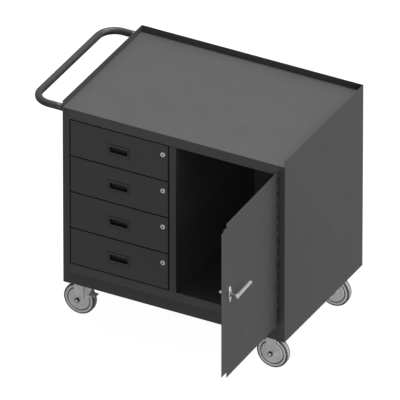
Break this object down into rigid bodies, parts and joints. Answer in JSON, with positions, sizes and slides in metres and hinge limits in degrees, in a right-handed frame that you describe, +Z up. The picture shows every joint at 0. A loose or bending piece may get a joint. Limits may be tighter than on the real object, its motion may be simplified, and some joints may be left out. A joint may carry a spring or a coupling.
{
  "type": "mobile cabinet workbench",
  "caption": "Mobile steel workbench cabinet with a raised-edge worktop, lockable drawers, a hinged cupboard door, a tubular push handle and casters.",
  "frame": {"origin": "on the floor under the middle of the bounding box, which takes in the push handle on the left and the door standing open at the front", "axes": "+X to the right as seen from the front, +Y from the front to the back, +Z up"},
  "size_m": [1.0806, 1.0654, 0.9239],
  "materials": {
    "body_grey": "semi-gloss powder coat",
    "door_grey": "semi-gloss powder coat",
    "drawer_grey": "semi-gloss powder coat",
    "zinc": "bright zinc plate",
    "chrome": "polished",
    "black_plastic": "fine grain",
    "wheel_tread": "moulded polyurethane on a hard core"
  },
  "bodies": {
    "cabinet": {"worktop": "body_grey", "left_side": "body_grey", "right_side": "body_grey", "back_panel": "body_grey", "floor_panel": "body_grey", "centre_divider": "body_grey", "base_channel_front": "body_grey", "base_channel_rear": "body_grey", "slide_liner_left": "body_grey", "slide_liner_right": "body_grey", "push_handle": "body_grey", "hinge_frame_leaf": "body_grey", "swivel_front_plate": "zinc", "swivel_rear_plate": "zinc", "rigid_front_frame": "zinc", "rigid_rear_frame": "zinc"},
    "door": {"door_skin": "door_grey", "door_stiffener": "door_grey", "hinge_door_leaf": "body_grey", "handle_escutcheon": "chrome"},
    "door_latch": {"door_lever": "chrome", "latch_cam": "zinc"},
    "drawer_1": {"drawer_1_front": "drawer_grey", "drawer_1_box": "body_grey", "drawer_1_pull": "black_plastic", "drawer_1_lock_barrel": "chrome"},
    "lock_1": {"drawer_1_lock_plug": "zinc"},
    "slides_1": {"drawer_1_slide_left": "zinc", "drawer_1_slide_right": "zinc"},
    "drawer_2": {"drawer_2_front": "drawer_grey", "drawer_2_box": "body_grey", "drawer_2_pull": "black_plastic", "drawer_2_lock_barrel": "chrome"},
    "lock_2": {"drawer_2_lock_plug": "zinc"},
    "slides_2": {"drawer_2_slide_left": "zinc", "drawer_2_slide_right": "zinc"},
    "drawer_3": {"drawer_3_front": "drawer_grey", "drawer_3_box": "body_grey", "drawer_3_pull": "black_plastic", "drawer_3_lock_barrel": "chrome"},
    "lock_3": {"drawer_3_lock_plug": "zinc"},
    "slides_3": {"drawer_3_slide_left": "zinc", "drawer_3_slide_right": "zinc"},
    "drawer_4": {"drawer_4_front": "drawer_grey", "drawer_4_box": "body_grey", "drawer_4_pull": "black_plastic", "drawer_4_lock_barrel": "chrome"},
    "lock_4": {"drawer_4_lock_plug": "zinc"},
    "slides_4": {"drawer_4_slide_left": "zinc", "drawer_4_slide_right": "zinc"},
    "swivel_front": {"swivel_front_fork": "zinc"},
    "swivel_front_wheel": {"swivel_front_wheel": "wheel_tread"},
    "swivel_front_brake": {"swivel_front_brake": "body_grey"},
    "rigid_front_wheel": {"rigid_front_wheel": "wheel_tread"},
    "swivel_rear": {"swivel_rear_fork": "zinc"},
    "swivel_rear_wheel": {"swivel_rear_wheel": "wheel_tread"},
    "swivel_rear_brake": {"swivel_rear_brake": "body_grey"},
    "rigid_rear_wheel": {"rigid_rear_wheel": "wheel_tread"}
  },
  "joints": [
    {"name": "door_hinge", "type": "hinge", "parent": "cabinet", "child": "door", "pos_m": [0.49921, -0.08695, 0.54864], "axis": [0, 0, 1], "range_deg": [-91, 84]},
    {"name": "latch_turn", "type": "hinge", "parent": "door", "child": "door_latch", "pos_m": [0.50586, -0.46789, 0.56083], "axis": [-0.9998, -0.0175, 0], "range_deg": [0, 90]},
    {"name": "drawer_1_slide", "type": "slide", "parent": "cabinet", "child": "drawer_1", "axis": [0, -1, 0], "range_m": [0, 0.4953]},
    {"name": "drawer_1_slides_run", "type": "slide", "parent": "cabinet", "child": "slides_1", "axis": [0, -1, 0], "range_m": [0, 0.24765]},
    {"name": "drawer_1_lock_turn", "type": "hinge", "parent": "drawer_1", "child": "lock_1", "pos_m": [0.02651, -0.08326, 0.81242], "axis": [0, -1, 0], "range_deg": [0, 90]},
    {"name": "drawer_2_slide", "type": "slide", "parent": "cabinet", "child": "drawer_2", "axis": [0, -1, 0], "range_m": [0, 0.4953]},
    {"name": "drawer_2_slides_run", "type": "slide", "parent": "cabinet", "child": "slides_2", "axis": [0, -1, 0], "range_m": [0, 0.24765]},
    {"name": "drawer_2_lock_turn", "type": "hinge", "parent": "drawer_2", "child": "lock_2", "pos_m": [0.02651, -0.08326, 0.65888], "axis": [0, -1, 0], "range_deg": [0, 90]},
    {"name": "drawer_3_slide", "type": "slide", "parent": "cabinet", "child": "drawer_3", "axis": [0, -1, 0], "range_m": [0, 0.4953]},
    {"name": "drawer_3_slides_run", "type": "slide", "parent": "cabinet", "child": "slides_3", "axis": [0, -1, 0], "range_m": [0, 0.24765]},
    {"name": "drawer_3_lock_turn", "type": "hinge", "parent": "drawer_3", "child": "lock_3", "pos_m": [0.02651, -0.08326, 0.50533], "axis": [0, -1, 0], "range_deg": [0, 90]},
    {"name": "drawer_4_slide", "type": "slide", "parent": "cabinet", "child": "drawer_4", "axis": [0, -1, 0], "range_m": [0, 0.4953]},
    {"name": "drawer_4_slides_run", "type": "slide", "parent": "cabinet", "child": "slides_4", "axis": [0, -1, 0], "range_m": [0, 0.24765]},
    {"name": "drawer_4_lock_turn", "type": "hinge", "parent": "drawer_4", "child": "lock_4", "pos_m": [0.02651, -0.08326, 0.35179], "axis": [0, -1, 0], "range_deg": [0, 90]},
    {"name": "swivel_front_turn", "type": "hinge", "parent": "cabinet", "child": "swivel_front", "pos_m": [-0.31283, -0.02332, 0.1397], "axis": [0, 0, 1], "continuous": true},
    {"name": "swivel_front_roll", "type": "hinge", "parent": "swivel_front", "child": "swivel_front_wheel", "pos_m": [-0.34941, -0.02332, 0.0635], "axis": [0, 1, 0], "continuous": true},
    {"name": "swivel_front_brake_press", "type": "hinge", "parent": "swivel_front", "child": "swivel_front_brake", "pos_m": [-0.31156, -0.02332, 0.08585], "axis": [0, 1, 0], "range_deg": [0, 12]},
    {"name": "rigid_front_roll", "type": "hinge", "parent": "cabinet", "child": "rigid_front_wheel", "pos_m": [0.45171, -0.02332, 0.0635], "axis": [0, 1, 0], "continuous": true},
    {"name": "swivel_rear_turn", "type": "hinge", "parent": "cabinet", "child": "swivel_rear", "pos_m": [-0.31283, 0.46258, 0.1397], "axis": [0, 0, 1], "continuous": true},
    {"name": "swivel_rear_roll", "type": "hinge", "parent": "swivel_rear", "child": "swivel_rear_wheel", "pos_m": [-0.34941, 0.46258, 0.0635], "axis": [0, 1, 0], "continuous": true},
    {"name": "swivel_rear_brake_press", "type": "hinge", "parent": "swivel_rear", "child": "swivel_rear_brake", "pos_m": [-0.31156, 0.46258, 0.08585], "axis": [0, 1, 0], "range_deg": [0, 12]},
    {"name": "rigid_rear_roll", "type": "hinge", "parent": "cabinet", "child": "rigid_rear_wheel", "pos_m": [0.45171, 0.46258, 0.0635], "axis": [0, 1, 0], "continuous": true}
  ],
  "couplings": [
    {"joint": "drawer_1_slides_run", "follows": "drawer_1_slide", "ratio": 0.5},
    {"joint": "drawer_2_slides_run", "follows": "drawer_2_slide", "ratio": 0.5},
    {"joint": "drawer_3_slides_run", "follows": "drawer_3_slide", "ratio": 0.5},
    {"joint": "drawer_4_slides_run", "follows": "drawer_4_slide", "ratio": 0.5}
  ]
}
